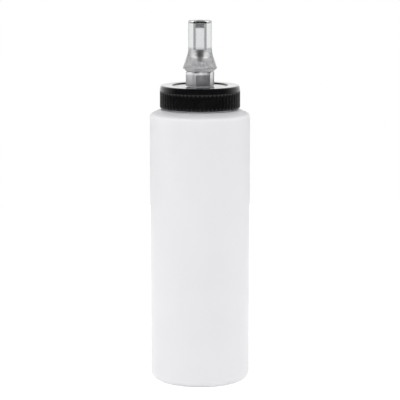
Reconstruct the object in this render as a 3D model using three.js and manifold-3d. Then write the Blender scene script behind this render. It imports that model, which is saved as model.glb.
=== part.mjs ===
// A 500 ml squeeze bottle with a ribbed screw cap and a clear push-pull nozzle.
// Millimetres, +Z up. The origin is the centre of the ring that the bottle stands on,
// and the side that is seen first faces -Y.
import * as THREE from "three";
import { mergeVertices } from "three/addons/utils/BufferGeometryUtils.js";
import Module from "manifold-3d";

const wasm = await Module();
wasm.setup();

// Clearances between pieces that touch or run in each other
const seatGap = 0.3;
const runningGap = 0.3;
const threadGap = 0.35;

// Bottle body
const bodyRadius = 32;
const bodyWall = 1.2;
const straightWallTop = 171;
const baseCornerRadius = 5.3;
const standingRingWidth = 3;
const pushUpHeight = 2.6;
const pinchLength = 26;
const pinchWidth = 1.2;
const pinchHeight = 0.5;
const shoulderCornerRadius = 2.2;
const shoulderSlope = THREE.MathUtils.degToRad(25);
const shoulderLedgeWidth = 2.9;

// Neck and its thread
const neckRadius = 22.3;
const neckWall = 2.3;
const neckHeight = 11.4;
const neckLipRound = 0.5;
const threadPitch = 4.2;
const threadTurns = 1.25;
const threadDepth = 1.15;
const threadRootWidth = 2.2;
const threadCrestWidth = 1;
const threadStartHeight = 2.9;
const threadRunOutTurns = 0.08;
const threadEndShare = 0.05;
const threadSunk = 0.3;

// Screw cap
const capWall = 1.55;
const capStandOff = 0.95;
const capDeckThickness = 1.6;
const capRimHeight = 0.8;
const capRecessRadius = 17.9;
const capBandHeight = 3.9;
const capBandProud = 0.05;
const capBandTaper = 0.4;
const capEdgeRound = 1.1;
const ribCount = 60;
const ribDepth = 0.25;
const ribWidth = 1.7;
const ribCrestWidth = 0.68;
const capThreadEndMargin = 0.5;

// Sealing liner under the cap's deck
const linerThickness = 1;
const linerHoleRadius = 8;

// Nozzle base: hexagon, shank through the cap, stem with the sealing pin
const hexAcrossFlats = 16.2;
const hexHeight = 9.4;
const hexTurn = THREE.MathUtils.degToRad(14);
const hexChamferHeight = 0.9;
const hexTopInset = 0.2;
const shankRadius = 6;
const shankLengthBelowDeck = 2.2;
const snapBeadHeight = 0.6;
const snapBeadLength = 1.2;
const flowBoreRadius = 2.6;
const stemRadius = 5.6;
const stemBeadHeight = 0.5;
const stemBeadLength = 0.7;
const pinRadius = 1.2;
const pinTipRadius = 0.4;
const pinTipLength = 0.9;
const spokeCount = 3;
const spokeWidth = 0.9;
const spokeHeight = 2;
const spokeDepthBelowStemTop = 4.8;

// Nozzle tip, which slides up on the stem to open
const tipTravel = 4;
const tipHeight = 31.9;
const tipFootRadius = 9.3;
const tipLipRadius = 10.95;
const tipLipHeight = 2;
const tipLipEdge = 0.25;
const tipTowerRadius = 7.5;
const tipFlareAngle = THREE.MathUtils.degToRad(18.5);
const tipFlareFillet = 15;
const tipTopRound = 2.2;
const tipRetainingLip = 0.7;
const throatLength = 0.75;
const funnelTopRadius = 2.1;
const funnelHeight = 6.4;
const outletBoreRadius = 2.8;

// Slit valve in the mouth of the tip
const valveRadius = 4.3;
const valveThickness = 1.2;
const valveDish = 0.35;
const valveDishRadius = 2.9;
const valveSlitLength = 4.6;
const valveSlitWidth = 0.3;

// Facets round each turned form
const bodySegments = 56;
const threadSegments = 44;
const nozzleSegments = 40;
const boreSegments = 20;

// Sizes and heights that follow from the ones above
const shoulderCorner = new THREE.Vector2(bodyRadius - shoulderCornerRadius, straightWallTop);
const shoulderArcEnd = Math.PI / 2 - shoulderSlope;
const shoulderLineStart = onCircle(shoulderCorner, shoulderCornerRadius, shoulderArcEnd);
const ledgeRadius = neckRadius + shoulderLedgeWidth;
const neckRoot = shoulderLineStart.y + (shoulderLineStart.x - ledgeRadius) * Math.tan(shoulderSlope);
const neckTop = neckRoot + neckHeight;
const neckBoreRadius = neckRadius - neckWall;
const pushUpRadius = bodyRadius - baseCornerRadius - standingRingWidth;

const linerBottom = neckTop + seatGap;
const deckUnderside = linerBottom + linerThickness + seatGap;
const deckTop = deckUnderside + capDeckThickness;
const rimTop = deckTop + capRimHeight;
const capBottom = neckRoot + capStandOff;
const skirtRadius = neckRadius + threadDepth + threadGap;
const capGroundRadius = skirtRadius + capWall;
const capHoleRadius = shankRadius + runningGap;

const hexBottom = deckTop + seatGap;
const hexTop = hexBottom + hexHeight;
const hexApothem = hexAcrossFlats / 2;
const hexCornerRadius = hexApothem / Math.cos(Math.PI / 6);
const shankBottom = deckUnderside - shankLengthBelowDeck;

const tipBottom = hexTop + seatGap;
const stemBeadBottom = tipBottom + tipRetainingLip + tipTravel + runningGap;
const stemTop = stemBeadBottom + stemBeadLength;
const stemBeadRadius = stemRadius + stemBeadHeight;
const chamberTop = stemTop + seatGap;
const chamberRadius = stemBeadRadius + runningGap;
const throatRadius = pinRadius + runningGap;
const throatTop = chamberTop + throatLength;
const funnelTop = throatTop + funnelHeight;
const tipTop = tipBottom + tipHeight;
const mouthRadius = valveRadius + runningGap;
const mouthFloor = tipTop - valveThickness - 2 * seatGap;

function onCircle(centre, radius, angle) {
  return new THREE.Vector2(centre.x + radius * Math.cos(angle), centre.y + radius * Math.sin(angle));
}

// Points on an arc of a profile, both ends included
function arc(centre, radius, from, to, steps) {
  const points = [];
  for (let i = 0; i <= steps; i++) {
    points.push(onCircle(centre, radius, THREE.MathUtils.lerp(from, to, i / steps)));
  }
  return points;
}

function at(radius, height) {
  return new THREE.Vector2(radius, height);
}

// Turns a profile of (radius, height) points about Z. A profile that does not run from
// axis to axis is closed on itself. Either winding gives faces that point outwards.
function revolve(profile, segments) {
  const onAxis = profile[0].x === 0 && profile[profile.length - 1].x === 0;
  const points = THREE.ShapeUtils.isClockWise(profile) ? [...profile].reverse() : [...profile];
  if (!onAxis) {
    points.push(points[0].clone());
  }
  const geometry = new THREE.LatheGeometry(points, segments);
  geometry.rotateX(Math.PI / 2);
  return solidFrom(geometry);
}

function cylinder(radius, bottom, top, segments) {
  return revolve([at(0, bottom), at(radius, bottom), at(radius, top), at(0, top)], segments);
}

// A flat outline lifted from one height to another
function prism(outline, bottom, top) {
  const shape = new THREE.Shape(outline);
  const geometry = new THREE.ExtrudeGeometry(shape, { depth: top - bottom, bevelEnabled: false });
  geometry.translate(0, 0, bottom);
  return solidFrom(geometry);
}

function box(width, depth, bottom, top) {
  const geometry = new THREE.BoxGeometry(width, depth, top - bottom);
  geometry.translate(0, 0, (top + bottom) / 2);
  return solidFrom(geometry);
}

// A closed geometry as a solid that can be joined and cut
function solidFrom(geometry) {
  let source = geometry.clone();
  source.deleteAttribute("normal");
  source.deleteAttribute("uv");
  if (!source.index) {
    source.setIndex([...Array(source.attributes.position.count).keys()]);
  }
  source = mergeVertices(source, 1e-5);
  const mesh = new wasm.Mesh({
    numProp: 3,
    vertProperties: new Float32Array(source.attributes.position.array),
    triVerts: Uint32Array.from(withoutSlivers(source.index.array)),
  });
  return new wasm.Manifold(mesh);
}

// Drops the triangles that a merge has closed up at a pole
function withoutSlivers(index) {
  const kept = [];
  for (let i = 0; i < index.length; i += 3) {
    const [a, b, c] = [index[i], index[i + 1], index[i + 2]];
    if (a !== b && b !== c && c !== a) {
      kept.push(a, b, c);
    }
  }
  return kept;
}

function geometryFrom(solid) {
  const { vertProperties, triVerts } = solid.getMesh();
  const geometry = new THREE.BufferGeometry();
  geometry.setAttribute("position", new THREE.BufferAttribute(vertProperties, 3));
  geometry.setIndex(new THREE.BufferAttribute(triVerts, 1));
  geometry.computeVertexNormals();
  return geometry;
}

// A closed skin over a row of sections, each a ring with the same number of points
function loft(sections) {
  const size = sections[0].length;
  const positions = sections.flat().flatMap((point) => [point.x, point.y, point.z]);
  const index = [];
  for (let i = 0; i + 1 < sections.length; i++) {
    for (let j = 0; j < size; j++) {
      const a = i * size + j;
      const b = i * size + ((j + 1) % size);
      index.push(a, b, b + size, a, b + size, a + size);
    }
  }
  const last = (sections.length - 1) * size;
  for (let j = 1; j + 1 < size; j++) {
    index.push(0, j + 1, j, last, last + j, last + j + 1);
  }
  const geometry = new THREE.BufferGeometry();
  geometry.setAttribute("position", new THREE.Float32BufferAttribute(positions, 3));
  geometry.setIndex(index);
  return solidFrom(geometry);
}

// One thread ridge: a trapezoid carried along a right-hand helix. It stands out of a wall
// of the given radius by the thread's depth, outwards or inwards, and runs out at both ends.
function threadRidge(wallRadius, outward, startHeight, startTurn) {
  const steps = Math.round(threadTurns * threadSegments);
  const root = threadRootWidth / 2;
  const crest = threadCrestWidth / 2;
  const sections = [];
  for (let i = 0; i <= steps; i++) {
    const turned = (threadTurns * i) / steps;
    const toEnd = Math.min(turned, threadTurns - turned) / threadRunOutTurns;
    const depth = threadDepth * THREE.MathUtils.clamp(toEnd, threadEndShare, 1);
    const angle = 2 * Math.PI * (startTurn + turned);
    const height = startHeight + threadPitch * turned;
    const side = outward ? 1 : -1;
    const ring = [
      [wallRadius - side * threadSunk, -root],
      [wallRadius, -root],
      [wallRadius + side * depth, -crest],
      [wallRadius + side * depth, crest],
      [wallRadius, root],
      [wallRadius - side * threadSunk, root],
    ].map(([r, z]) => new THREE.Vector3(r * Math.cos(angle), r * Math.sin(angle), height + z));
    sections.push(outward ? ring.reverse() : ring);
  }
  return loft(sections);
}

// The base's pushed-up middle, from the axis out to the standing ring: half a cosine wave
function pushUpCurve(lift, steps) {
  const points = [];
  for (let i = 0; i <= steps; i++) {
    const share = i / steps;
    const height = (pushUpHeight * (1 + Math.cos(Math.PI * share))) / 2;
    points.push(at(share * pushUpRadius, height + lift));
  }
  return points;
}

function bottleOutside() {
  const corner = at(bodyRadius - baseCornerRadius, baseCornerRadius);
  return [
    ...pushUpCurve(0, 4),
    ...arc(corner, baseCornerRadius, -Math.PI / 2, 0, 6),
    ...arc(shoulderCorner, shoulderCornerRadius, 0, shoulderArcEnd, 4),
    at(ledgeRadius, neckRoot),
    at(neckRadius, neckRoot),
    at(neckRadius, neckTop - neckLipRound),
    at(neckRadius - neckLipRound, neckTop),
  ];
}

// The inside keeps the wall's thickness under the body, shoulder and base
function bottleInside() {
  const corner = at(bodyRadius - baseCornerRadius, baseCornerRadius);
  const shoulderDrop = bodyWall / Math.cos(shoulderSlope);
  const shoulderRound = shoulderCornerRadius - bodyWall / 2;
  const insideCorner = at(bodyRadius - bodyWall - shoulderRound, straightWallTop - bodyWall / 2);
  return [
    at(neckBoreRadius, neckTop),
    at(neckBoreRadius, neckRoot - shoulderDrop),
    at(ledgeRadius, neckRoot - shoulderDrop),
    ...arc(insideCorner, shoulderRound, shoulderArcEnd, 0, 3),
    ...arc(corner, baseCornerRadius - bodyWall, 0, -Math.PI / 2, 5),
    ...pushUpCurve(bodyWall, 4).reverse(),
  ];
}

// The line where the mould pinched the base shut, a low ridge across the pushed-up middle
function makePinchLine() {
  const bar = box(pinchLength, pinchWidth, -pinchHeight, pushUpHeight + bodyWall / 2);
  const layer = [...pushUpCurve(-pinchHeight, 4), ...pushUpCurve(bodyWall / 2, 4).reverse()];
  return revolve(layer, bodySegments).intersect(bar);
}

function makeBottle() {
  const shell = revolve([...bottleOutside(), ...bottleInside()], bodySegments);
  const ridge = threadRidge(neckRadius, true, neckRoot + threadStartHeight, 0);
  return shell.add(ridge).add(makePinchLine());
}

// The flank's outline seen from above: a circle with a low rib at each step round it
function ribbedOutline() {
  const points = [];
  const footAngle = ribWidth / capGroundRadius;
  const crestAngle = ribCrestWidth / capGroundRadius;
  for (let i = 0; i < ribCount; i++) {
    const middle = (2 * Math.PI * i) / ribCount;
    const crest = capGroundRadius + ribDepth;
    points.push(onCircle(at(0, 0), capGroundRadius, middle - footAngle / 2));
    points.push(onCircle(at(0, 0), crest, middle - crestAngle / 2));
    points.push(onCircle(at(0, 0), crest, middle + crestAngle / 2));
    points.push(onCircle(at(0, 0), capGroundRadius, middle + footAngle / 2));
  }
  return points;
}

function makeScrewCap() {
  const bandBottom = rimTop - capBandHeight;
  const bandRadius = capGroundRadius + ribDepth + capBandProud;
  const edge = at(bandRadius - capBandTaper - capEdgeRound, rimTop - capEdgeRound);
  const flank = prism(ribbedOutline(), capBottom, bandBottom + seatGap);
  const band = revolve([
    at(0, bandBottom),
    at(bandRadius, bandBottom),
    ...arc(edge, capEdgeRound, 0, Math.PI / 2, 4),
    at(capRecessRadius, rimTop),
    at(capRecessRadius, deckTop),
    at(0, deckTop),
  ], bodySegments);
  const hollow = cylinder(skirtRadius, capBottom - 1, deckUnderside, bodySegments);
  const hole = cylinder(capHoleRadius, deckUnderside - 1, deckTop + 1, nozzleSegments);
  return flank.add(band).subtract(hollow).subtract(hole).add(capThread());
}

// The cap's ridge bears on the underside of the neck's ridge, one clearance below it
function capThread() {
  const engaged = (threadDepth - threadGap) / threadDepth;
  const flankSpread = (threadRootWidth - threadCrestWidth) / 2;
  const ridgeSpacing = threadCrestWidth + flankSpread * engaged + seatGap;
  const helixStart = neckRoot + threadStartHeight - ridgeSpacing;
  const firstHeight = capBottom + threadRootWidth / 2 + capThreadEndMargin;
  const startTurn = (firstHeight - helixStart) / threadPitch;
  return threadRidge(skirtRadius, false, firstHeight, startTurn);
}

function makeSealingLiner() {
  const outer = skirtRadius - runningGap;
  return revolve([
    at(linerHoleRadius, linerBottom),
    at(outer, linerBottom),
    at(outer, linerBottom + linerThickness),
    at(linerHoleRadius, linerBottom + linerThickness),
  ], bodySegments);
}

// The hexagon with its upper corners chamfered like a nut's
function makeHexagon() {
  const corners = [];
  for (let i = 0; i < 6; i++) {
    corners.push(onCircle(at(0, 0), hexCornerRadius, hexTurn + (i * Math.PI) / 3));
  }
  const chamfer = revolve([
    at(0, hexBottom - 1),
    at(hexCornerRadius + 1, hexBottom - 1),
    at(hexCornerRadius + 1, hexTop - hexChamferHeight),
    at(hexCornerRadius, hexTop - hexChamferHeight),
    at(hexApothem - hexTopInset, hexTop),
    at(0, hexTop),
  ], nozzleSegments);
  return prism(corners, hexBottom, hexTop).intersect(chamfer);
}

function makeNozzleBase() {
  const beadTop = deckUnderside - seatGap;
  const spokeTop = stemTop - spokeDepthBelowStemTop + spokeHeight;
  const turned = revolve([
    at(0, shankBottom),
    at(shankRadius, shankBottom),
    at(shankRadius, beadTop - snapBeadLength),
    at(shankRadius + snapBeadHeight, beadTop - snapBeadLength / 3),
    at(shankRadius + snapBeadHeight, beadTop),
    at(shankRadius, beadTop),
    at(shankRadius, hexBottom + 1),
    at(stemRadius, hexTop - 1),
    at(stemRadius, stemBeadBottom),
    at(stemBeadRadius, stemBeadBottom),
    at(stemBeadRadius, stemTop),
    at(0, stemTop),
  ], nozzleSegments);
  const bore = cylinder(flowBoreRadius, shankBottom - 1, stemTop + 1, boreSegments);
  const pin = revolve([
    at(0, spokeTop - spokeHeight),
    at(pinRadius, spokeTop - spokeHeight),
    at(pinRadius, throatTop),
    at(pinTipRadius, throatTop + pinTipLength),
    at(0, throatTop + pinTipLength),
  ], boreSegments);
  let base = turned.add(makeHexagon()).subtract(bore).add(pin);
  for (let i = 0; i < spokeCount; i++) {
    const spoke = box(flowBoreRadius + seatGap, spokeWidth, spokeTop - spokeHeight, spokeTop);
    base = base.add(spoke.translate((flowBoreRadius + seatGap) / 2, 0, 0).rotate(0, 0, (360 * i) / spokeCount));
  }
  return base;
}

function tipOutside() {
  const lipTop = tipBottom + tipLipHeight;
  const flareCentre = new THREE.Vector2();
  flareCentre.x = tipTowerRadius + tipFlareFillet;
  const tangent = flareCentre.x - tipFlareFillet * Math.cos(tipFlareAngle);
  const flareRise = (tipLipRadius - tipLipEdge - tangent) / Math.tan(tipFlareAngle);
  flareCentre.y = lipTop + tipLipEdge + flareRise + tipFlareFillet * Math.sin(tipFlareAngle);
  const corner = at(tipTowerRadius - tipTopRound, tipTop - tipTopRound);
  return [
    at(tipFootRadius, tipBottom),
    at(tipLipRadius, lipTop - tipLipEdge),
    at(tipLipRadius, lipTop),
    at(tipLipRadius - tipLipEdge, lipTop + tipLipEdge),
    ...arc(flareCentre, tipFlareFillet, Math.PI + tipFlareAngle, Math.PI, 4),
    ...arc(corner, tipTopRound, 0, Math.PI / 2, 4),
  ];
}

function makeNozzleTip() {
  const retaining = stemRadius + runningGap;
  return revolve([
    ...tipOutside(),
    at(mouthRadius, tipTop),
    at(mouthRadius, mouthFloor),
    at(outletBoreRadius, mouthFloor),
    at(outletBoreRadius, funnelTop),
    at(funnelTopRadius, funnelTop),
    at(throatRadius, throatTop),
    at(throatRadius, chamberTop),
    at(chamberRadius, chamberTop),
    at(chamberRadius, tipBottom + tipRetainingLip),
    at(retaining, tipBottom + tipRetainingLip),
    at(retaining, tipBottom),
  ], nozzleSegments);
}

function makeOutletValve() {
  const bottom = mouthFloor + seatGap;
  const top = bottom + valveThickness;
  const disc = revolve([
    at(0, bottom),
    at(valveRadius, bottom),
    at(valveRadius, top),
    at(valveDishRadius, top),
    at(0, top - valveDish),
  ], nozzleSegments);
  const slit = box(valveSlitLength, valveSlitWidth, bottom - 1, top + 1);
  return disc.subtract(slit).subtract(slit.rotate(0, 0, 90));
}

// Each piece with its colour, gloss and metalness
function piece(name, solid, colour, roughness, options = {}) {
  const material = new THREE.MeshStandardMaterial({ color: colour, roughness, metalness: 0, ...options });
  const mesh = new THREE.Mesh(geometryFrom(solid), material);
  mesh.name = name;
  return mesh;
}

const clear = { transparent: true, opacity: 0.55 };

const dispenser = new THREE.Group();
dispenser.add(
  piece("bottle", makeBottle(), 0xebebee, 0.42),
  piece("sealing_liner", makeSealingLiner(), 0xf4f3ee, 0.8),
  piece("screw_cap", makeScrewCap(), 0x151517, 0.3),
  piece("nozzle_base", makeNozzleBase(), 0xc9ccd0, 0.15, clear),
  piece("nozzle_tip", makeNozzleTip(), 0xd2d5d8, 0.15, clear),
  piece("outlet_valve", makeOutletValve(), 0x1c1d20, 0.55),
);

export default dispenser;
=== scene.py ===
"""A milky squeeze bottle with a black ribbed screw cap and a clear push-pull nozzle.

Every shape is a surface turned about the bottle's upright axis. Its radius and height are
arrays of rows (points of the profile) by columns (angles), so ribs, threads and the hexagon
are terms in the radius.
"""
import logging
import math
from dataclasses import dataclass, replace
from enum import Enum
from typing import Sequence

import bpy
import numpy as np
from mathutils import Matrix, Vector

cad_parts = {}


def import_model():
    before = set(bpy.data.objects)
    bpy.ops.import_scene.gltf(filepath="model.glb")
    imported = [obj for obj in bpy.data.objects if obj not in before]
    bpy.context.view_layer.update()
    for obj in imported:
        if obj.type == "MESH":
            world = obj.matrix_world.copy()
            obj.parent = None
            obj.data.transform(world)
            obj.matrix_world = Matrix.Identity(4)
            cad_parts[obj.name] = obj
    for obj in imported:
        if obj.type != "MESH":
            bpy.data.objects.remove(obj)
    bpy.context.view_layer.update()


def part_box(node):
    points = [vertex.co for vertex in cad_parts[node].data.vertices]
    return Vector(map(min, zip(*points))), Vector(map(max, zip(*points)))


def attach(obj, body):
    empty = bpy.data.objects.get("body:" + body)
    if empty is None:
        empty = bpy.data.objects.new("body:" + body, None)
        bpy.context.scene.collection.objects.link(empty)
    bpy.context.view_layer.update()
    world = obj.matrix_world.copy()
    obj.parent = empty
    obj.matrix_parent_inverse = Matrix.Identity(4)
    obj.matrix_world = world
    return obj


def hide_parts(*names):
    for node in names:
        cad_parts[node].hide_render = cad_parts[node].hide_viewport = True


MM = 0.001
SHARP = 30.0  # degrees, for bars, pin, valve and floor
LOG = logging.getLogger("dispenser")

Point = tuple[float, float]
Corner = tuple[float, float, float]
Piece = bpy.types.Object
Material = bpy.types.Material
Tree = bpy.types.NodeTree
Socket = bpy.types.NodeSocket
Value = Socket | float


class Ends(Enum):
    """How the first and last rows of a turned surface close."""

    POLES = "poles"
    LOOP = "loop"


class Side(Enum):
    """Which way a thread ridge stands out of its wall."""

    OUTWARD = 1
    INWARD = -1


@dataclass(frozen=True)
class Surface:
    """Rows by columns of radius and height, in metres, for one turned surface."""

    radius: np.ndarray
    height: np.ndarray


def angles(count: int, start: float = 0.0) -> np.ndarray:
    """Equal steps round a full turn.

    Args:
        count: number of columns.
        start: angle of the first column, in radians.

    Returns:
        The angles, in radians.
    """
    return start + np.arange(count) * (2.0 * math.pi / count)


def line(first: Point, last: Point, steps: int = 1) -> np.ndarray:
    """Points on a straight stretch of profile, both ends included.

    Args:
        first: radius and height of the first point.
        last: radius and height of the last point.
        steps: number of equal steps.

    Returns:
        An array of (radius, height) rows.
    """
    return np.linspace(first, last, steps + 1)


def arc(centre: Point, radius: float, first: float, last: float, steps: int) -> np.ndarray:
    """Points on a round stretch: the centre plus the radius times (cosine, sine) of the angle.

    Args:
        centre: radius and height of the arc's centre.
        radius: the arc's own radius.
        first: angle of the first point, in degrees.
        last: angle of the last point, in degrees.
        steps: number of equal steps.

    Returns:
        An array of (radius, height) rows.
    """
    turn = np.radians(np.linspace(first, last, steps + 1))
    return np.column_stack((centre[0] + radius * np.cos(turn), centre[1] + radius * np.sin(turn)))


def turned(profile: Sequence[np.ndarray], columns: np.ndarray) -> Surface:
    """The plain surface of revolution of a profile.

    Args:
        profile: stretches of (radius, height) rows, in order.
        columns: the angles of the surface.

    Returns:
        The surface with the same radius at every angle.
    """
    rows = np.vstack([np.atleast_2d(part) for part in profile])
    ones = np.ones_like(columns)
    return Surface(np.outer(rows[:, 0], ones), np.outer(rows[:, 1], ones))


def stacked(*surfaces: Surface) -> Surface:
    """One surface whose rows are those of several, in order."""
    return Surface(
        np.vstack([part.radius for part in surfaces]),
        np.vstack([part.height for part in surfaces]),
    )


def new_object(name: str, points: np.ndarray, faces: list[list[int]], sharp: float) -> Piece:
    """Makes a mesh object at the origin, shaded smooth but for its sharp edges.

    Args:
        name: the object's name.
        points: its points, in metres.
        faces: its faces, as lists of point numbers.
        sharp: angle in degrees past which an edge is sharp.

    Returns:
        The new object.
    """
    mesh = bpy.data.meshes.new(name)
    mesh.from_pydata(points.tolist(), [], faces)
    shade(mesh, sharp)
    piece = bpy.data.objects.new(name, mesh)
    bpy.context.scene.collection.objects.link(piece)
    return piece


def shade(mesh: bpy.types.Mesh, sharp: float) -> None:
    """Shades a mesh smooth, with sharp edges past an angle in degrees."""
    mesh.shade_smooth()
    mesh.set_sharp_from_angle(angle=math.radians(sharp))


def turned_object(
    name: str, surface: Surface, columns: np.ndarray, ends: Ends, sharp: float
) -> Piece:
    """Makes a mesh of a turned surface: x = r cos a, y = r sin a, z = height.

    Args:
        name: the object's name.
        surface: rows by columns of radius and height.
        columns: the angle of each column.
        ends: whether the first and last rows are poles or meet each other.
        sharp: angle in degrees past which an edge is sharp.

    Returns:
        The new object.
    """
    rows, count = surface.radius.shape
    x = surface.radius * np.cos(columns)
    y = surface.radius * np.sin(columns)
    points = np.stack((x, y, surface.height), axis=-1).reshape(-1, 3)
    index = np.arange(rows * count).reshape(rows, count)
    if ends is Ends.POLES:
        index[0, :] = index[0, 0]
        index[-1, :] = index[-1, 0]
    else:
        index = np.vstack((index, index[:1]))
    used = np.zeros(len(points), dtype=bool)
    used[index] = True
    index = (np.cumsum(used) - 1)[index]
    right = np.roll(index, -1, axis=1)
    quads = np.stack((index[:-1], right[:-1], right[1:], index[1:]), axis=-1)
    if ends is Ends.POLES:
        faces = quads[0][:, [0, 2, 3]].tolist()
        faces += quads[1:-1].reshape(-1, 4).tolist()
        faces += quads[-1][:, [0, 1, 2]].tolist()
    else:
        faces = quads.reshape(-1, 4).tolist()
    return new_object(name, points[used], faces, sharp)


def bar(name: str, low: Corner, high: Corner, turn: float) -> Piece:
    """A straight bar between two corners, turned about the upright axis.

    Args:
        name: the object's name.
        low: its lowest corner before turning, in metres.
        high: its highest corner before turning, in metres.
        turn: angle about the upright axis, in radians.

    Returns:
        The new object, with its place in its mesh.
    """
    corner = np.array(np.meshgrid((0, 1), (0, 1), (0, 1), indexing="ij")).reshape(3, -1).T
    points = np.array(low) + corner * (np.array(high) - np.array(low))
    c, s = math.cos(turn), math.sin(turn)
    points[:, :2] = points[:, :2] @ np.array(((c, s), (-s, c)))
    faces = [[0, 1, 3, 2], [4, 6, 7, 5], [0, 4, 5, 1], [2, 3, 7, 6], [0, 2, 6, 4], [1, 5, 7, 3]]
    return new_object(name, points, faces, SHARP)


def combined(target: Piece, tool: Piece, operation: str, sharp: float) -> None:
    """Joins or cuts one closed mesh with another, and removes the tool.

    Args:
        target: the object that is changed.
        tool: the object that is added or taken away.
        operation: UNION or DIFFERENCE.
        sharp: angle in degrees past which an edge is sharp.
    """
    change = target.modifiers.new("combine", "BOOLEAN")
    change.operation = operation
    change.solver = "EXACT"
    change.object = tool
    bpy.context.view_layer.update()
    graph = bpy.context.evaluated_depsgraph_get()
    result = bpy.data.meshes.new_from_object(target.evaluated_get(graph))
    target.modifiers.clear()
    target.data = result
    bpy.data.objects.remove(tool)
    shade(result, sharp)


@dataclass(frozen=True)
class Thread:
    """A right-hand thread ridge whose height over its wall is a field of angle and height."""

    pitch: float = 4.2 * MM
    turns: float = 1.25
    depth: float = 1.15 * MM
    root_width: float = 2.2 * MM
    crest_width: float = 1.0 * MM
    run_out: float = 0.08
    laps: int = 3

    def ridge(
        self, columns: np.ndarray, heights: np.ndarray, first_turn: float, first_height: float
    ) -> np.ndarray:
        """How far the ridge stands out: a trapezoid round the helix, faded at both its ends.

        Args:
            columns: the angles, in radians.
            heights: rows by columns of height, in metres.
            first_turn: where the ridge starts, in turns.
            first_height: the helix's height there.

        Returns:
            Rows by columns of ridge height, in metres.
        """
        field = np.zeros_like(heights)
        flank = (self.root_width - self.crest_width) / 2.0
        for lap in range(self.laps):
            along = columns / (2.0 * math.pi) + lap - first_turn
            middle = first_height + self.pitch * along
            away = np.abs(heights - middle)
            section = np.clip((self.root_width / 2.0 - away) / flank, 0.0, 1.0)
            fade = np.clip(np.minimum(along, self.turns - along) / self.run_out, 0.0, 1.0)
            field = np.maximum(field, self.depth * section * fade)
        return field

    def wall(
        self, radius: float, heights: np.ndarray, columns: np.ndarray, side: Side, start: Point
    ) -> Surface:
        """A round wall with the ridge on it.

        Args:
            radius: the wall's radius.
            heights: the heights of its rows.
            columns: the angles of the surface.
            side: which way the ridge stands.
            start: the turn and the height at which the ridge starts.

        Returns:
            The wall as a surface.
        """
        height = np.outer(heights, np.ones_like(columns))
        ridge = self.ridge(columns, height, start[0], start[1])
        return Surface(radius + side.value * ridge, height)


@dataclass(frozen=True)
class Sockets:
    """Values set on the shader's own sockets, the same all over a surface."""

    ior: float = 1.5
    specular: float = 0.5
    transmission: float = 0.0
    subsurface: float = 0.0
    subsurface_radius: Corner = (1.0, 1.0, 1.0)
    subsurface_scale: float = 0.002
    coat: float = 0.0
    coat_roughness: float = 0.1
    tint: Corner = (1.0, 1.0, 1.0)


def fill(node: bpy.types.Node, values: dict[str, float | tuple[float, ...]]) -> None:
    """Sets inputs of a node.

    Args:
        node: the node.
        values: the constant for each input, by its name.
    """
    for name, value in values.items():
        node.inputs[name].default_value = value


def feed(tree: Tree, value: Value, socket: Socket) -> None:
    """Links a socket's value to another socket, or sets it if it is a number."""
    if isinstance(value, float):
        socket.default_value = value
    else:
        tree.links.new(value, socket)


def operate(tree: Tree, operation: str, *values: Value) -> Socket:
    """Adds one arithmetic node that takes the values in order, and returns its result."""
    node = tree.nodes.new("ShaderNodeMath")
    node.operation = operation
    for value, socket in zip(values, node.inputs):
        feed(tree, value, socket)
    return node.outputs["Value"]


def ramp(tree: Tree, value: Socket, source: Point, target: Point) -> Socket:
    """Carries a value from one range to another, clamped."""
    node = tree.nodes.new("ShaderNodeMapRange")
    node.inputs["From Min"].default_value, node.inputs["From Max"].default_value = source
    node.inputs["To Min"].default_value, node.inputs["To Max"].default_value = target
    tree.links.new(value, node.inputs["Value"])
    return node.outputs["Result"]


def blend(tree: Tree, share: Value, first: Value, second: Value) -> Socket:
    """Blends two levels by a share from 0 to 1."""
    node = tree.nodes.new("ShaderNodeMix")
    for name, value in (("Factor", share), ("A", first), ("B", second)):
        feed(tree, value, node.inputs[name])
    return node.outputs["Result"]


def noise(tree: Tree, place: Socket, scale: Socket, detail: float) -> Socket:
    """Adds one noise texture, and returns its value from 0 to 1."""
    node = tree.nodes.new("ShaderNodeTexNoise")
    node.inputs["Detail"].default_value = detail
    tree.links.new(place, node.inputs["Vector"])
    tree.links.new(scale, node.inputs["Scale"])
    return node.outputs["Fac"]


def new_group(
    name: str, inputs: dict[str, str], outputs: dict[str, str]
) -> tuple[Tree, bpy.types.Node, bpy.types.Node]:
    """Makes a node group with its sockets and no nodes but its two ends.

    Args:
        name: the group's name.
        inputs: the kind of each input, by its name.
        outputs: the kind of each output, by its name.

    Returns:
        The group, its input node and its output node.
    """
    tree = bpy.data.node_groups.new(name, "ShaderNodeTree")
    for way, sockets in (("INPUT", inputs), ("OUTPUT", outputs)):
        for label, kind in sockets.items():
            tree.interface.new_socket(label, in_out=way, socket_type="NodeSocket" + kind)
    return tree, tree.nodes.new("NodeGroupInput"), tree.nodes.new("NodeGroupOutput")


def tone_group() -> None:
    """Builds the group that shades a colour by a slow noise.

    The colour out is the colour in times one plus the strength times a noise from -1 to 1.
    """
    tree, inside, outside = new_group(
        "slow_tone",
        {"Position": "Vector", "Colour": "Color", "Scale": "Float", "Strength": "Float"},
        {"Colour": "Color"},
    )
    cloud = noise(tree, inside.outputs["Position"], inside.outputs["Scale"], 2.0)
    spread = ramp(tree, cloud, (0.3, 0.7), (-1.0, 1.0))
    gain = operate(tree, "MULTIPLY_ADD", spread, inside.outputs["Strength"], 1.0)
    tint = tree.nodes.new("ShaderNodeVectorMath")
    tint.operation = "SCALE"
    tree.links.new(inside.outputs["Colour"], tint.inputs[0])
    tree.links.new(gain, tint.inputs["Scale"])
    tree.links.new(tint.outputs["Vector"], outside.inputs["Colour"])


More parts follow.
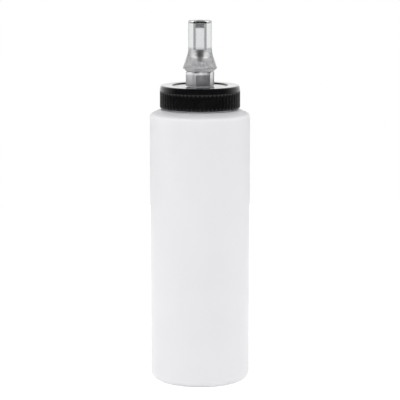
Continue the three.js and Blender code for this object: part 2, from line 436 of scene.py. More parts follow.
def grain_group() -> None:
    """Builds the group for the fine grain that a mould leaves.

    The height out is a fine noise plus a coarser one at a third of its strength, and the
    roughness out is the roughness in plus the spread times the coarse noise about its middle.
    """
    floats = ("Fine scale", "Coarse scale", "Roughness", "Spread")
    tree, inside, outside = new_group(
        "moulded_grain",
        {"Position": "Vector"} | dict.fromkeys(floats, "Float"),
        {"Height": "Float", "Roughness": "Float"},
    )
    ports = inside.outputs
    fine = noise(tree, ports["Position"], ports["Fine scale"], 3.0)
    coarse = noise(tree, ports["Position"], ports["Coarse scale"], 2.0)
    height = operate(tree, "MULTIPLY_ADD", coarse, 1.0 / 3.0, fine)
    centred = operate(tree, "SUBTRACT", coarse, 0.5)
    rough = operate(tree, "MULTIPLY_ADD", centred, ports["Spread"], ports["Roughness"])
    tree.links.new(height, outside.inputs["Height"])
    tree.links.new(rough, outside.inputs["Roughness"])


def grouped(tree: Tree, name: str, values: dict[str, float | tuple[float, ...]]) -> bpy.types.Node:
    """Adds one of the two node groups to a material, and sets its inputs by their names."""
    node = tree.nodes.new("ShaderNodeGroup")
    node.node_tree = bpy.data.node_groups[name]
    fill(node, values)
    return node


@dataclass(frozen=True)
class Finish:
    """One moulded material: a colour with slow tones, and a roughness with the mould's grain."""

    name: str
    colour: Corner
    roughness: float
    sockets: Sockets
    tone_scale: float = 18.0
    tone_strength: float = 0.02
    fine_scale: float = 2500.0
    coarse_scale: float = 160.0
    roughness_spread: float = 0.1
    bump_strength: float = 0.1
    bump_distance: float = 0.00003

    def build(self) -> Material:
        """Makes the node material.

        Returns:
            The new material.
        """
        material = bpy.data.materials.new(self.name)
        material.use_nodes = True
        tree = material.node_tree
        shader = tree.nodes["Principled BSDF"]
        place = tree.nodes.new("ShaderNodeTexCoord")
        tone = grouped(tree, "slow_tone", {
            "Colour": (*self.colour, 1.0),
            "Scale": self.tone_scale,
            "Strength": self.tone_strength,
        })
        grain = grouped(tree, "moulded_grain", {
            "Fine scale": self.fine_scale,
            "Coarse scale": self.coarse_scale,
            "Roughness": self.roughness,
            "Spread": self.roughness_spread,
        })
        bump = tree.nodes.new("ShaderNodeBump")
        fill(bump, {"Strength": self.bump_strength, "Distance": self.bump_distance})
        join = tree.links.new
        join(place.outputs["Object"], tone.inputs["Position"])
        join(place.outputs["Object"], grain.inputs["Position"])
        join(tone.outputs["Colour"], shader.inputs["Base Color"])
        join(grain.outputs["Roughness"], shader.inputs["Roughness"])
        join(grain.outputs["Height"], bump.inputs["Height"])
        join(bump.outputs["Normal"], shader.inputs["Normal"])
        self.set_sockets(shader)
        return material

    def set_sockets(self, shader: bpy.types.Node) -> None:
        """Puts the constant values on the shader's own sockets.

        Args:
            shader: the material's shader.
        """
        values = self.sockets
        fill(shader, {
            "IOR": values.ior,
            "Specular IOR Level": values.specular,
            "Transmission Weight": values.transmission,
            "Subsurface Weight": values.subsurface,
            "Subsurface Radius": values.subsurface_radius,
            "Subsurface Scale": values.subsurface_scale,
            "Coat Weight": values.coat,
            "Coat Roughness": values.coat_roughness,
            "Specular Tint": (*values.tint, 1.0),
        })


MILKY = Finish(
    "milky_polyethylene", (0.865, 0.855, 0.895), 0.42,
    Sockets(subsurface=0.7, subsurface_scale=0.006, transmission=0.1, ior=1.51, specular=0.4),
    tone_strength=0.012, bump_strength=0.05,
)
BLACK = Finish(
    "black_satin_plastic", (0.0008, 0.0008, 0.0012), 0.26, Sockets(specular=0.27),
    tone_scale=60.0, tone_strength=0.15, roughness_spread=0.12,
)
GLOSSY_BLACK = Finish(
    "black_glossy_plastic", (0.004, 0.004, 0.0046), 0.12, Sockets(coat=1.0, coat_roughness=0.08),
    tone_scale=60.0, tone_strength=0.15, roughness_spread=0.06,
)
CLEAR = Finish(
    "clear_plastic", (0.85, 0.86, 0.865), 0.1, Sockets(transmission=1.0),
    tone_strength=0.01, roughness_spread=0.04, bump_strength=0.02,
)
HEX_CLEAR = Finish(
    "hexagon_clear_plastic", (0.93, 0.932, 0.945), 0.36, Sockets(transmission=1.0),
    roughness_spread=0.05, bump_strength=0.02,
)
# Painted shade: grey and near-black copies of the hexagon's clear plastic, put on two facets for the
# shade seen through them.
HEX_PAINTED_SHADE = replace(
    HEX_CLEAR, name="hexagon_painted_grey_shade", colour=(0.56, 0.562, 0.575), roughness=0.5
)
HEX_PAINTED_DARK_SHADE = replace(
    HEX_CLEAR, name="hexagon_painted_dark_shade", colour=(0.13, 0.131, 0.142), roughness=0.55
)
BORE_WALL = replace(HEX_CLEAR, name="bore_plastic", colour=(0.92, 0.93, 0.94), roughness=0.14)
# Painted shade: a near-black copy of the clear plastic, on the funnel's wall inside the tip.
FUNNEL_PAINTED_SHADE = replace(
    HEX_CLEAR, name="funnel_painted_shade", colour=(0.015, 0.0152, 0.016), roughness=0.3,
    sockets=Sockets(transmission=1.0, tint=(0.1, 0.1, 0.103)), tone_strength=0.03,
)
# Painted shade: a dark grey copy of the clear plastic, on the bore's top under the valve.
MOUTH_PAINTED_SHADE = replace(
    FUNNEL_PAINTED_SHADE, name="bore_mouth_painted_shade", colour=(0.2, 0.201, 0.205),
    sockets=Sockets(transmission=1.0, tint=(0.7, 0.7, 0.71)),
)
DULL_CLEAR = replace(
    HEX_CLEAR, name="dull_clear_plastic", colour=(0.97, 0.972, 0.98), roughness=0.3,
    sockets=Sockets(transmission=0.9),
)
# Painted shade: a darker copy of the clear plastic, on the upper flare.
FLARE_PAINTED_SHADE = replace(
    HEX_CLEAR, name="flare_painted_shade", colour=(0.61, 0.615, 0.62), roughness=0.4,
    sockets=Sockets(transmission=0.93),
)
RUBBER = Finish(
    "black_silicone", (0.006, 0.006, 0.007), 0.9, Sockets(specular=0.05),
    tone_scale=120.0, tone_strength=0.1, bump_strength=0.2,
)
FOAM = Finish(
    "white_foam", (0.86, 0.85, 0.82), 0.85, Sockets(specular=0.2),
    tone_scale=200.0, tone_strength=0.05, bump_strength=0.5, bump_distance=0.0001,
)


def dress(piece: Piece, body: str, node: str, material: Material) -> None:
    """Gives a piece its material and puts it in the place of a CAD node.

    Args:
        piece: the finished piece.
        body: the body that it moves with.
        node: the node that it stands for.
        material: its node material.
    """
    piece.data.materials.clear()
    piece.data.materials.append(material)
    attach(piece, body)
    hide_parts(node)
    LOG.info("%s: %d faces, replaces %s on %s", piece.name, len(piece.data.polygons), node, body)


def face_centres(piece: Piece) -> np.ndarray:
    """The middle of every face of a piece, as rows of x, y and z in metres."""
    centres = np.empty(len(piece.data.polygons) * 3)
    piece.data.polygons.foreach_get("center", centres)
    return centres.reshape(-1, 3)


def paint(piece: Piece, material: Material, chosen: np.ndarray) -> None:
    """Gives some faces of a piece a material of their own.

    Args:
        piece: a dressed piece.
        material: the further material.
        chosen: one truth value for each face.
    """
    indices = np.empty(len(piece.data.polygons), dtype=np.int32)
    piece.data.polygons.foreach_get("material_index", indices)
    indices[chosen] = len(piece.data.materials)
    piece.data.materials.append(material)
    piece.data.polygons.foreach_set("material_index", indices)


@dataclass
class Bottle:
    """The blow-moulded bottle: base, wall, shoulder, and neck with its thread."""

    wall: float = 1.2 * MM
    wall_top: float = 171.0 * MM
    corner_radius: float = 5.3 * MM
    ring_width: float = 3.0 * MM
    push_up: float = 2.6 * MM
    shoulder_radius: float = 2.2 * MM
    shoulder_slope: float = 25.0
    neck_radius: float = 22.3 * MM
    neck_wall: float = 2.3 * MM
    ledge_width: float = 2.9 * MM
    neck_height: float = 11.4 * MM
    thread_rise: float = 2.9 * MM
    lip_round: float = 0.5 * MM
    parting_height: float = 0.05 * MM
    parting_width: float = 0.5 * MM
    inner_drop: float = 2.0 * MM
    sharp: float = 50.0
    columns: int = 256
    base_rows: int = 17
    wall_steps: int = 60
    inner_steps: int = 30
    neck_rows: int = 58
    thread: Thread = Thread()

    def __post_init__(self) -> None:
        """Takes the overall radius and the neck's top from the frame."""
        _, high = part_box("bottle")
        self.radius = high.x - self.parting_height
        self.neck_top = high.z
        self.neck_root = self.neck_top - self.neck_height
        self.angles = angles(self.columns)

    def push_up_rows(self, lift: float) -> np.ndarray:
        """The base's pushed-up middle: half a cosine wave from the axis to the standing ring.

        Args:
            lift: how far the wave lies above the ground.

        Returns:
            An array of (radius, height) rows.
        """
        share = np.linspace(0.0, 1.0, self.base_rows)
        reach = self.radius - self.corner_radius - self.ring_width
        height = lift + self.push_up * (1.0 + np.cos(math.pi * share)) / 2.0
        return np.column_stack((share * reach, height))

    def outside(self) -> Surface:
        """The outer skin from the base's middle up to the neck's rim, with the parting lines."""
        corner = (self.radius - self.corner_radius, self.corner_radius)
        shoulder = (self.radius - self.shoulder_radius, self.wall_top)
        shoulder_foot = (self.radius, self.wall_top)
        turn = 90.0 - self.shoulder_slope
        ledge = (self.neck_radius + self.ledge_width, self.neck_root)
        plain = turned(
            [
                self.push_up_rows(0.0),
                arc(corner, self.corner_radius, -90.0, 0.0, 16),
                line((self.radius, self.corner_radius), shoulder_foot, self.wall_steps)[1:-1],
                arc(shoulder, self.shoulder_radius, 0.0, turn, 10),
                line(ledge, ledge),
            ],
            self.angles,
        )
        away = np.abs(np.sin(self.angles)) * self.radius
        ridge = self.parting_height * np.clip(1.0 - away / self.parting_width, 0.0, 1.0)
        steep = plain.radius > self.radius - self.shoulder_radius
        steep &= plain.height > self.corner_radius
        return Surface(plain.radius + np.where(steep, ridge, 0.0), plain.height)

    def neck(self) -> Surface:
        """The neck's outer wall with its thread, and its rounded rim."""
        heights = np.linspace(self.neck_root, self.neck_top - self.lip_round, self.neck_rows)
        start = (0.0, self.neck_root + self.thread_rise)
        outer = self.thread.wall(self.neck_radius, heights, self.angles, Side.OUTWARD, start)
        centre = (self.neck_radius - self.lip_round, self.neck_top - self.lip_round)
        rim = arc(centre, self.lip_round, 15.0, 90.0, 4)
        return stacked(outer, turned([rim], self.angles))

    def inside(self) -> Surface:
        """The inner skin from the neck's rim down to the base's middle."""
        bore = self.neck_radius - self.neck_wall
        drop = self.wall / math.cos(math.radians(self.shoulder_slope))
        inner = self.radius - self.wall
        corner = (self.radius - self.corner_radius, self.corner_radius)
        turn = 90.0 - self.shoulder_slope
        shoulder = (inner - self.shoulder_radius, self.wall_top - self.wall / 2.0)
        ledge = (bore + self.ledge_width, self.neck_root - drop)
        wall_top = (inner, self.wall_top - self.inner_drop)
        return turned(
            [
                line((bore, self.neck_top), (bore, self.neck_root - drop), 6),
                line(ledge, ledge),
                arc(shoulder, self.shoulder_radius, turn, 0.0, 8),
                line(wall_top, (inner, self.corner_radius), self.inner_steps),
                arc(corner, self.corner_radius - self.wall, 0.0, -90.0, 10)[1:],
                self.push_up_rows(self.wall)[::-1],
            ],
            self.angles,
        )

    def build(self, material: Material) -> Piece:
        """Makes and dresses the bottle.

        Args:
            material: the milky plastic.

        Returns:
            The bottle.
        """
        skin = stacked(self.outside(), self.neck(), self.inside())
        piece = turned_object("bottle_skin", skin, self.angles, Ends.POLES, self.sharp)
        dress(piece, "bottle", "bottle", material)
        return piece


@dataclass
class ScrewCap:
    """The black cap: ribbed flank, smooth band, recessed top and threaded skirt."""

    wall: float = 1.55 * MM
    deck: float = 1.6 * MM
    rim_height: float = 0.8 * MM
    recess_radius: float = 17.9 * MM
    recess_round: float = 0.4 * MM
    band_height: float = 3.9 * MM
    band_proud: float = 0.05 * MM
    band_foot: float = 0.4 * MM
    band_taper: float = 0.4 * MM
    edge_round: float = 1.1 * MM
    glossy_height: float = 3.0 * MM
    hole_radius: float = 6.3 * MM
    skirt_round: float = 0.3 * MM
    rib_count: int = 60
    rib_depth: float = 0.25 * MM
    rib_fade: float = 0.5 * MM
    rib_blend: float = 0.3 * MM
    rib_squareness: float = 3.0
    thread_rise: float = 1.6 * MM
    thread_turn: float = 0.3133
    sharp: float = 40.0
    columns: int = 720
    skirt_rows: int = 56
    thread: Thread = Thread()

    def __post_init__(self) -> None:
        """Takes the overall radius, the bottom and the top from the frame."""
        low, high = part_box("screw_cap")
        self.band_radius = high.x
        self.bottom = low.z
        self.top = high.z
        self.ground = self.band_radius - self.band_proud - self.rib_depth
        self.skirt = self.ground - self.wall
        self.angles = angles(self.columns)

    def flank(self) -> Surface:
        """The ribbed flank: the ground radius plus a rounded square wave of the angle.

        The wave is the hyperbolic tangent of three times (rib_squareness) a cosine, moved to
        run from 0 to 1.
        It fades to nothing at the foot by a square root, and to the band's full radius at
        the top by a smooth step.
        """
        low = self.bottom + self.skirt_round
        high = self.top - self.band_height
        heights = np.concatenate((
            np.linspace(low, low + self.rib_fade, 5),
            np.linspace(low + self.rib_fade, high - self.rib_blend, 8)[1:],
            np.linspace(high - self.rib_blend, high, 7)[1:],
        ))
        square = self.rib_squareness
        wave = np.tanh(square * np.cos(self.rib_count * self.angles)) / math.tanh(square)
        wave = (1.0 + wave) / 2.0
        fade = np.clip((heights - low) / self.rib_fade, 0.0, 1.0) ** 0.5
        rise = np.clip((heights - high + self.rib_blend) / self.rib_blend, 0.0, 1.0)
        rise = rise * rise * (3.0 - 2.0 * rise)
        ribs = self.rib_depth * np.outer(fade, wave)
        full = self.rib_depth + self.band_proud
        radius = self.ground + ribs + (full - ribs) * rise[:, None]
        return Surface(radius, np.outer(heights, np.ones_like(self.angles)))

    def upper(self) -> Surface:
        """The smooth band, the rounded edge, the rim, the recess and the nozzle's hole."""
        band = (self.band_radius, self.top - self.band_height + self.band_foot)
        edge = (self.band_radius - self.band_taper - self.edge_round, self.top - self.edge_round)
        floor = self.top - self.rim_height
        turn = self.recess_round
        return turned(
            [
                line(band, band),
                arc(edge, self.edge_round, 2.0, 90.0, 12),
                arc((self.recess_radius + turn, self.top - turn), turn, 90.0, 180.0, 4),
                arc((self.recess_radius - turn, floor + turn), turn, 0.0, -90.0, 4),
                line((self.hole_radius, floor), (self.hole_radius, floor - self.deck)),
            ],
            self.angles,
        )

    def lower(self) -> Surface:
        """The deck's underside, the threaded skirt and its rounded foot."""
        under = self.top - self.rim_height - self.deck
        heights = np.linspace(under, self.bottom + self.skirt_round, self.skirt_rows)
        start = (self.thread_turn, self.bottom + self.thread_rise)
        skirt = self.thread.wall(self.skirt, heights, self.angles, Side.INWARD, start)
        turn = self.skirt_round
        foot = [
            arc((self.skirt + turn, self.bottom + turn), turn, 190.0, 270.0, 3),
            arc((self.ground - turn, self.bottom + turn), turn, 270.0, 350.0, 3),
        ]
        return stacked(skirt, turned(foot, self.angles))

    def build(self, material: Material, top: Material) -> Piece:
        """Makes and dresses the cap.

        Args:
            material: the satin black of the flank and the inside.
            top: the glossy black of the edge and the top.

        Returns:
            The cap.
        """
        skin = stacked(self.flank(), self.upper(), self.lower())
        piece = turned_object("screw_cap_skin", skin, self.angles, Ends.LOOP, self.sharp)
        dress(piece, "cap", "screw_cap", material)
        paint(piece, top, face_centres(piece)[:, 2] > self.top - self.glossy_height)
        return piece


@dataclass
class NozzleBase:
    """The clear hexagon with its shank, stem, flow bore, spokes and sealing pin."""

    across_flats: float = 16.2 * MM
    turn: float = 14.0
    corner_power: float = 90.0
    hex_rise: float = 4.1 * MM
    hex_height: float = 9.4 * MM
    chamfer: float = 0.9 * MM
    cone_inset: float = 0.2 * MM
    cone_power: float = 1.6
    foot_round: float = 0.15 * MM
    shank_radius: float = 6.0 * MM
    edge: float = 0.3 * MM
    bead: float = 0.6 * MM
    bead_top: float = 1.9 * MM
    bead_length: float = 1.2 * MM
    stem_radius: float = 5.6 * MM
    stem_length: float = 6.0 * MM
    stem_fillet: float = 0.4 * MM
    stem_bead: float = 0.5 * MM
    stem_bead_length: float = 0.7 * MM
    stem_bead_foot: float = 0.1 * MM
    stem_bead_edge: float = 0.2 * MM
    bore_radius: float = 2.6 * MM
    pin_radius: float = 1.2 * MM
    pin_tip_radius: float = 0.4 * MM
    pin_tip_length: float = 0.9 * MM
    spoke_width: float = 0.9 * MM
    spoke_height: float = 2.0 * MM
    spoke_drop: float = 4.8 * MM
    spoke_lift: float = 0.05 * MM
    spoke_sunk: float = 0.3 * MM
    # Height margins of the painted shade on the chosen facets.
    painted_shade_foot: float = 0.4 * MM
    painted_shade_top: float = 2.1 * MM
    facet_margin: float = 0.1 * MM
    sharp: float = 28.0
    columns: int = 240
    facet_rows: int = 16
    chamfer_rows: int = 9
    bore_steps: int = 30

    def __post_init__(self) -> None:
        """Takes the foot of the shank and the top of the pin from the frame."""
        low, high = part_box("nozzle_base")
        self.bottom = low.z
        self.pin_top = high.z
        self.hex_bottom = self.bottom + self.hex_rise
        self.hex_top = self.hex_bottom + self.hex_height
        self.stem_top = self.hex_top + self.stem_length
        self.angles = angles(self.columns)

    def hexagon(self) -> Surface:
        """The hexagon: half its width over a smooth maximum of the cosines to its six faces.

        The smooth maximum is the power mean of a high power, which rounds the corners a
        little. A cone cuts the upper corners, as on a nut.
        """
        facets = math.radians(-90.0 + self.turn) + angles(6)
        away = np.maximum(np.cos(self.angles[:, None] - facets[None, :]), 0.0)
        width = np.sum(away**self.corner_power, axis=1) ** (1.0 / self.corner_power)
        reach = self.across_flats / 2.0 / width
        low, high = self.hex_bottom, self.hex_top
        soft = self.foot_round
        heights = np.concatenate((
            (low, low + soft),
            np.linspace(low + 2.0 * soft, high - self.chamfer, self.facet_rows),
            np.linspace(high - self.chamfer, high, self.chamfer_rows)[1:],
        ))
        rise = np.clip((heights - (high - self.chamfer)) / self.chamfer, 0.0, 1.0)
        corner = self.across_flats / 2.0 / math.cos(math.pi / 6.0)
        depth = corner - self.across_flats / 2.0 + self.cone_inset
        cone = corner - depth * rise**self.cone_power
        foot = np.where(heights < low + soft / 2.0, soft, 0.0)
        radius = np.minimum(reach[None, :] - foot[:, None], cone[:, None])
        return Surface(radius, np.outer(heights, np.ones_like(self.angles)))

    def skin(self) -> Surface:
        """The whole outside and the flow bore, as one closed surface."""
        edge = self.edge
        shank_bead = self.bottom + self.bead_top
        bead_foot = shank_bead - self.bead_length
        wide = self.shank_radius + self.bead
        bead_edge = self.stem_radius + self.stem_bead
        bead_low = self.stem_top - self.stem_bead_length
        taper = self.stem_bead_edge
        lower = [
            line((self.bore_radius, self.bottom), (self.shank_radius - edge, self.bottom)),
            line((self.shank_radius, self.bottom + edge), (self.shank_radius, bead_foot)),
            line((wide, shank_bead - self.bead_length / 3.0), (wide, shank_bead)),
            line((self.shank_radius, shank_bead), (self.shank_radius, self.hex_bottom)),
        ]
        stem_foot = (self.stem_radius + self.stem_fillet, self.hex_top)
        upper = [
            line(stem_foot, (self.stem_radius, self.hex_top + edge)),
            line((self.stem_radius, bead_low), (bead_edge, bead_low + self.stem_bead_foot)),
            line((bead_edge, self.stem_top - taper), (bead_edge - taper, self.stem_top)),
        ]
        bore = line((self.bore_radius, self.stem_top), (self.bore_radius, self.bottom), self.bore_steps)
        upper.append(bore[:-1])
        return stacked(turned(lower, self.angles), self.hexagon(), turned(upper, self.angles))

    def pin(self) -> Piece:
        """The sealing pin on the axis, with a cone at its top."""
        columns = angles(48)
        low = self.stem_top - self.spoke_drop
        cone = self.pin_top - self.pin_tip_length
        rows = [
            line((0.0, low), (self.pin_radius, low)),
            line((self.pin_radius, cone), (self.pin_tip_radius, self.pin_top)),
            line((0.0, self.pin_top), (0.0, self.pin_top))[1:],
        ]
        return turned_object("pin", turned(rows, columns), columns, Ends.POLES, SHARP)

    def build(self, material: Material, facets: dict[int, Material]) -> Piece:
        """Makes and dresses the nozzle's base.

        Args:
            material: the clear plastic.
            facets: painted shade, darker copies of the clear plastic, by the number of the facet counted
                from the front one.

        Returns:
            The nozzle's base.
        """
        piece = turned_object("nozzle_base_skin", self.skin(), self.angles, Ends.LOOP, self.sharp)
        low = self.stem_top - self.spoke_drop
        combined(piece, self.pin(), "UNION", self.sharp)
        for turn in angles(3):
            spoke = bar(
                "spoke",
                (0.0, -self.spoke_width / 2.0, low + self.spoke_lift),
                (self.bore_radius + self.spoke_sunk, self.spoke_width / 2.0, low + self.spoke_height),
                turn,
            )
            combined(piece, spoke, "UNION", self.sharp)
        dress(piece, "cap", "nozzle_base", material)
        # Painted shade: darker copies of the clear plastic on the chosen facets, over a band of the
        # hexagon's height.
        centres = face_centres(piece)
        painted_band = centres[:, 2] > self.hex_bottom + self.painted_shade_foot
        painted_band &= centres[:, 2] < self.hex_top - self.painted_shade_top
        for number, painted_shade in facets.items():
            facing = math.radians(-90.0 + self.turn + 60.0 * number)
            away = centres[:, 0] * math.cos(facing) + centres[:, 1] * math.sin(facing)
            paint(piece, painted_shade, painted_band & (away > self.across_flats / 2.0 - self.facet_margin))
        return piece


@dataclass
class NozzleTip:
    """The clear tip: pull lip, flare, tower, mouth, bore, funnel, throat and chamber."""

    foot_radius: float = 9.3 * MM
    lip_height: float = 2.0 * MM
    lip_edge: float = 0.25 * MM
    tower_radius: float = 7.5 * MM
    flare_angle: float = 18.5
    flare_fillet: float = 15.0 * MM
    top_round: float = 0.9 * MM
    mouth_radius: float = 4.6 * MM
    mouth_depth: float = 1.8 * MM
    bore_radius: float = 2.8 * MM
    funnel_radius: float = 2.6 * MM
    funnel_height: float = 6.4 * MM
    throat_radius: float = 1.5 * MM
    throat_length: float = 0.75 * MM
    chamber_radius: float = 6.4 * MM
    chamber_height: float = 6.0 * MM
    lip_bore_radius: float = 5.9 * MM
    lip_bore_height: float = 0.7 * MM
    flare_height: float = 14.5 * MM
    flare_foot: float = 8.3 * MM
    # Depth of the painted shade at the bore's top.
    mouth_shade_depth: float = 5.0 * MM
    soften: float = 0.12 * MM
    wall_margin: float = 0.1 * MM
    bore_margin: float = 0.05 * MM
    sharp: float = 28.0
    columns: int = 192
    arc_steps: int = 12
    bore_steps: int = 24
    funnel_steps: int = 6

    def __post_init__(self) -> None:
        """Takes the lip's radius, the foot and the top from the frame."""
        low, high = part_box("nozzle_tip")
        self.lip_radius = high.x
        self.bottom = low.z
        self.top = high.z
        self.angles = angles(self.columns)

    def outside(self) -> list[np.ndarray]:
        """The outer profile from the foot up to the mouth's edge."""
        lip_top = self.bottom + self.lip_height
        low_edge = lip_top - self.lip_edge
        slope = math.radians(self.flare_angle)
        centre_radius = self.tower_radius + self.flare_fillet
        tangent = centre_radius - self.flare_fillet * math.cos(slope)
        rise = (self.lip_radius - self.lip_edge - tangent) / math.tan(slope)
        centre_height = lip_top + self.lip_edge + rise + self.flare_fillet * math.sin(slope)
        centre = (centre_radius, centre_height)
        corner = (self.tower_radius - self.top_round, self.top - self.top_round)
        foot = (self.foot_radius, self.bottom + self.soften)
        return [
            line((self.foot_radius - self.soften, self.bottom), foot),
            line((self.lip_radius - self.soften, low_edge - self.soften), (self.lip_radius, low_edge)),
            line((self.lip_radius, lip_top), (self.lip_radius - self.lip_edge, lip_top + self.lip_edge)),
            arc(centre, self.flare_fillet, 180.0 + self.flare_angle, 180.0, self.arc_steps),
            arc(corner, self.top_round, 0.0, 90.0, self.arc_steps),
        ]

    def inside(self) -> list[np.ndarray]:
        """The inner profile from the mouth's edge down to the foot."""
        soft = self.soften
        floor = self.top - self.mouth_depth
        ceiling = self.bottom + self.chamber_height
        throat = ceiling + self.throat_length
        funnel = throat + self.funnel_height
        lip_top = self.bottom + self.lip_bore_height
        return [
            line((self.mouth_radius + soft, self.top), (self.mouth_radius, self.top - soft)),
            line((self.mouth_radius, floor), (self.bore_radius + soft, floor)),
            line((self.bore_radius, floor - soft), (self.bore_radius, funnel), self.bore_steps),
            line((self.funnel_radius, funnel), (self.throat_radius, throat), self.funnel_steps),
            line((self.throat_radius, ceiling), (self.chamber_radius - soft, ceiling)),
            line((self.chamber_radius, ceiling - soft), (self.chamber_radius, lip_top)),
            line((self.lip_bore_radius, lip_top), (self.lip_bore_radius, self.bottom)),
        ]

    def build(
        self, material: Material, bore: Material, grey: Material,
        mouth: Material, lower: Material, flare: Material,
    ) -> Piece:
        """Makes and dresses the tip.

        Args:
            material: the clear plastic of the tower.
            bore: the bore's wall.
            grey: painted shade on the funnel's wall, a near-black copy of the clear plastic.
            mouth: painted shade on the bore's top, a dark grey copy of the clear plastic.
            lower: the duller plastic of the foot and the chamber.
            flare: painted shade on the upper flare, a duller and darker copy of the clear plastic.

        Returns:
            The tip.
        """
        skin = turned(self.outside() + self.inside(), self.angles)
        piece = turned_object("nozzle_tip_skin", skin, self.angles, Ends.LOOP, self.sharp)
        dress(piece, "tip", "nozzle_tip", material)
        centres = face_centres(piece)
        reach = np.hypot(centres[:, 0], centres[:, 1])
        height = centres[:, 2]
        below = height < self.bottom + self.flare_height
        outer = below & (reach > self.tower_radius - self.wall_margin)
        throat = self.bottom + self.chamber_height
        margin = self.bore_margin
        inner = (reach < self.bore_radius + margin) & (height > throat)
        inner &= height < self.top - self.mouth_depth + margin
        funnel_top = throat + self.throat_length + self.funnel_height + margin
        # The funnel, the bore's top and the upper flare get painted shade: darker copies of the clear
        # plastic.
        for plastic, chosen in (
            (lower, below),
            (flare, outer & (height > self.bottom + self.flare_foot)),
            (bore, inner),
            (grey, inner & (height < funnel_top)),
            (mouth, inner & (height > self.top - self.mouth_shade_depth)),
        ):
            paint(piece, plastic, chosen)
        return piece


@dataclass
class OutletValve:
    """The black slit valve in the tip's mouth."""

    dish: float = 0.35 * MM
    dish_radius: float = 2.9 * MM
    edge: float = 0.15 * MM
    slit_length: float = 4.6 * MM
    slit_width: float = 0.16 * MM
    slit_reach: float = 1.0 * MM
    columns: int = 96
    dish_rows: int = 9

    def build(self, material: Material) -> Piece:
        """Makes the disc with its dished top, cuts its crossed slits and dresses it.

        Args:
            material: the black silicone.

        Returns:
            The valve.
        """
        low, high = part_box("outlet_valve")
        columns = angles(self.columns)
        radius = high.x
        share = np.linspace(1.0, 0.0, self.dish_rows)
        dish = np.column_stack((share * self.dish_radius, high.z - self.dish * (1.0 - share**2)))
        rows = [
            line((0.0, low.z), (radius - self.edge, low.z)),
            line((radius, low.z + self.edge), (radius, high.z - self.edge)),
            line((radius - self.edge, high.z), (radius - self.edge, high.z)),
            dish,
        ]
        piece = turned_object("outlet_valve_skin", turned(rows, columns), columns, Ends.POLES, SHARP)
        for turn in (0.0, math.pi / 2.0):
            slit = bar(
                "slit",
                (-self.slit_length / 2.0, -self.slit_width / 2.0, low.z - self.slit_reach),
                (self.slit_length / 2.0, self.slit_width / 2.0, high.z + self.slit_reach),
                turn,
            )
            combined(piece, slit, "DIFFERENCE", SHARP)
        dress(piece, "tip", "outlet_valve", material)
        return piece


@dataclass
class SealingLiner:
    """The soft washer under the cap's deck."""

    hole_radius: float = 8.0 * MM
    edge: float = 0.12 * MM
    sharp: float = 50.0
    columns: int = 128

    def build(self, material: Material) -> Piece:
        """Makes and dresses the liner, with rounded edges.

        Args:
            material: the white foam.

        Returns:
            The liner.
        """
        low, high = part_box("sealing_liner")
        columns = angles(self.columns)
        e = self.edge
        rows = [
            arc((self.hole_radius + e, low.z + e), e, 180.0, 270.0, 3),
            arc((high.x - e, low.z + e), e, 270.0, 360.0, 3),
            arc((high.x - e, high.z - e), e, 0.0, 90.0, 3),
            arc((self.hole_radius + e, high.z - e), e, 90.0, 180.0, 3),
        ]
        skin = turned(rows, columns)
        piece = turned_object("sealing_liner_skin", skin, columns, Ends.LOOP, self.sharp)
        dress(piece, "liner", "sealing_liner", material)
        return piece


@dataclass(frozen=True)
class Softbox:
    """One soft rectangular lamp: its place, width and height in metres, and its power in watts."""

    name: str
    place: Corner
    size: Point
    power: float


SOFTBOXES = (
    Softbox("left_softbox", (-0.9, -0.35, 0.35), (0.5, 0.9), 3.0),
    Softbox("right_softbox", (0.9, -0.35, 0.35), (0.5, 0.9), 2.3),
    Softbox("front_softbox", (0.0, -1.2, 0.32), (0.9, 0.6), 3.8),
)


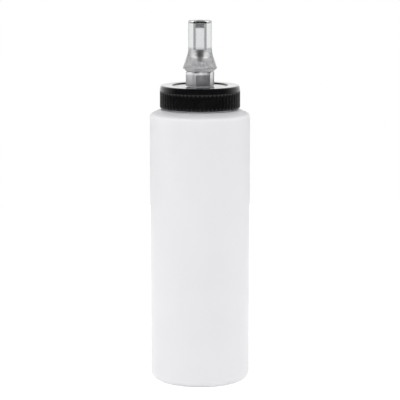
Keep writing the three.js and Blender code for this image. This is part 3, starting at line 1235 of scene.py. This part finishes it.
@dataclass(frozen=True)
class Studio:
    """The camera, the floor, the world and the lamps."""

    camera_distance: float = 1.300
    camera_height: float = 0.325
    camera_pitch: float = 9.1
    lens: float = 184.4
    sensor: float = 36.0
    clip_end: float = 20.0
    floor_radius: float = 0.7
    floor_columns: int = 96
    floor_colour: float = 0.9
    floor_through: float = 0.6
    floor_glow: float = 0.8
    dome_low: float = 0.6
    dome_back: float = 1.0
    dome_power: float = 1.45
    dome_depth: Point = (-0.3, 1.0)
    horizon: Point = (-0.12, 0.06)
    inner_level: float = 0.42
    ambient: float = 0.88
    aim_height: float = 0.12

    def camera(self) -> None:
        """Makes the camera at the photograph's height, distance and pitch, and sets it."""
        data = bpy.data.cameras.new("camera")
        data.lens = self.lens
        data.sensor_width = self.sensor
        data.clip_end = self.clip_end
        camera = bpy.data.objects.new("camera", data)
        camera.location = (0.0, -self.camera_distance, self.camera_height)
        camera.rotation_euler = (math.radians(90.0 - self.camera_pitch), 0.0, 0.0)
        bpy.context.scene.collection.objects.link(camera)
        bpy.context.scene.camera = camera

    def floor(self) -> None:
        """Makes the pale round floor, which shows as white and keeps the bottle's shadow.

        It glows for the camera and for mirrored rays only, and its colour is darker for rays
        that come through clear plastic.
        """
        turn = angles(self.floor_columns)
        rim = np.column_stack((np.cos(turn), np.sin(turn), np.zeros_like(turn))) * self.floor_radius
        floor = new_object("floor", rim, [list(range(len(turn)))], SHARP)
        material = bpy.data.materials.new("floor_white")
        material.use_nodes = True
        tree = material.node_tree
        tree.nodes.clear()
        out = tree.nodes.new("ShaderNodeOutputMaterial")
        matt = tree.nodes.new("ShaderNodeBsdfDiffuse")
        glow = tree.nodes.new("ShaderNodeEmission")
        both = tree.nodes.new("ShaderNodeAddShader")
        path = tree.nodes.new("ShaderNodeLightPath")
        rays = path.outputs
        seen = operate(tree, "MAXIMUM", rays["Is Camera Ray"], rays["Is Glossy Ray"])
        colour = blend(tree, rays["Is Transmission Ray"], self.floor_colour, self.floor_through)
        join = tree.links.new
        join(operate(tree, "MULTIPLY", seen, self.floor_glow), glow.inputs["Strength"])
        join(colour, matt.inputs["Color"])
        join(matt.outputs["BSDF"], both.inputs[0])
        join(glow.outputs["Emission"], both.inputs[1])
        join(both.outputs["Shader"], out.inputs["Surface"])
        floor.data.materials.append(material)

    def world(self) -> None:
        """Makes the dome, by the way that a ray takes.

        Seen directly or through clear plastic it is white. A mirrored ray meets a dome that
        darkens towards the front and below the horizon, a ray mirrored inside the plastic
        meets a mid grey, and the rest get an even light.
        """
        world = bpy.data.worlds.new("studio")
        bpy.context.scene.world = world
        world.use_nodes = True
        tree = world.node_tree
        tree.nodes.clear()
        out = tree.nodes.new("ShaderNodeOutputWorld")
        glow = tree.nodes.new("ShaderNodeBackground")
        glow.inputs["Color"].default_value = (1.0, 1.0, 1.0, 1.0)
        rays = tree.nodes.new("ShaderNodeLightPath").outputs
        reflected = blend(tree, rays["Is Glossy Ray"], self.ambient, self.dome(tree))
        mirrored = operate(tree, "GREATER_THAN", rays["Glossy Depth"], 0.5)
        through = blend(tree, mirrored, 1.0, self.inner_level)
        level = blend(tree, rays["Is Transmission Ray"], reflected, through)
        seen = operate(tree, "MAXIMUM", rays["Is Camera Ray"], level)
        tree.links.new(seen, glow.inputs["Strength"])
        tree.links.new(glow.outputs["Background"], out.inputs["Surface"])

    def dome(self, tree: Tree) -> Socket:
        """The mirrored dome: a power of the direction's backward part, dimmed below the horizon.

        Args:
            tree: the world's node tree.

        Returns:
            The socket with the dome's level.
        """
        place = tree.nodes.new("ShaderNodeTexCoord")
        split = tree.nodes.new("ShaderNodeSeparateXYZ")
        tree.links.new(place.outputs["Generated"], split.inputs["Vector"])
        back = ramp(tree, split.outputs["Y"], self.dome_depth, (0.0, 1.0))
        rise = ramp(tree, split.outputs["Z"], self.horizon, (self.dome_low, self.dome_back))
        return operate(tree, "MULTIPLY", operate(tree, "POWER", back, self.dome_power), rise)

    def lamp(self, box: Softbox) -> None:
        """Makes one lamp that faces the bottle's middle and isn't seen in or through the plastic.

        Args:
            box: the lamp's name, place, size and power.
        """
        data = bpy.data.lights.new(box.name, "AREA")
        data.shape = "RECTANGLE"
        data.size, data.size_y = box.size
        data.energy = box.power
        lamp = bpy.data.objects.new(box.name, data)
        lamp.location = box.place
        lamp.visible_glossy = False
        lamp.visible_transmission = False
        aim = np.array((0.0, 0.0, self.aim_height)) - np.array(box.place)
        tilt = math.atan2(math.hypot(aim[0], aim[1]), -aim[2])
        lamp.rotation_euler = (tilt, 0.0, math.atan2(aim[1], aim[0]) - math.pi / 2.0)
        bpy.context.scene.collection.objects.link(lamp)

    def build(self) -> None:
        """Sets up everything round the bottle, the camera first."""
        self.camera()
        self.floor()
        self.world()
        for box in SOFTBOXES:
            self.lamp(box)
        bpy.context.scene.view_settings.view_transform = "Standard"


def main() -> None:
    """Loads the frame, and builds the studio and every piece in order."""
    logging.basicConfig(level=logging.INFO, format="%(name)s: %(message)s")
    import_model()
    Studio().build()
    tone_group()
    grain_group()
    milky, black, dull, grey = (finish.build() for finish in (MILKY, BLACK, DULL_CLEAR, FUNNEL_PAINTED_SHADE))
    Bottle().build(milky)
    SealingLiner().build(FOAM.build())
    ScrewCap().build(black, GLOSSY_BLACK.build())
    # The front facet and the one to its left get painted shade.
    NozzleBase().build(HEX_CLEAR.build(), {0: HEX_PAINTED_DARK_SHADE.build(), -1: HEX_PAINTED_SHADE.build()})
    clear, bore, mouth, flare = (
        finish.build() for finish in (CLEAR, BORE_WALL, MOUTH_PAINTED_SHADE, FLARE_PAINTED_SHADE)
    )
    # grey, mouth and flare carry painted shade for the funnel, the bore's top and the upper flare.
    NozzleTip().build(clear, bore, grey, mouth, dull, flare)
    OutletValve().build(RUBBER.build())


if __name__ == "__main__":
    main()
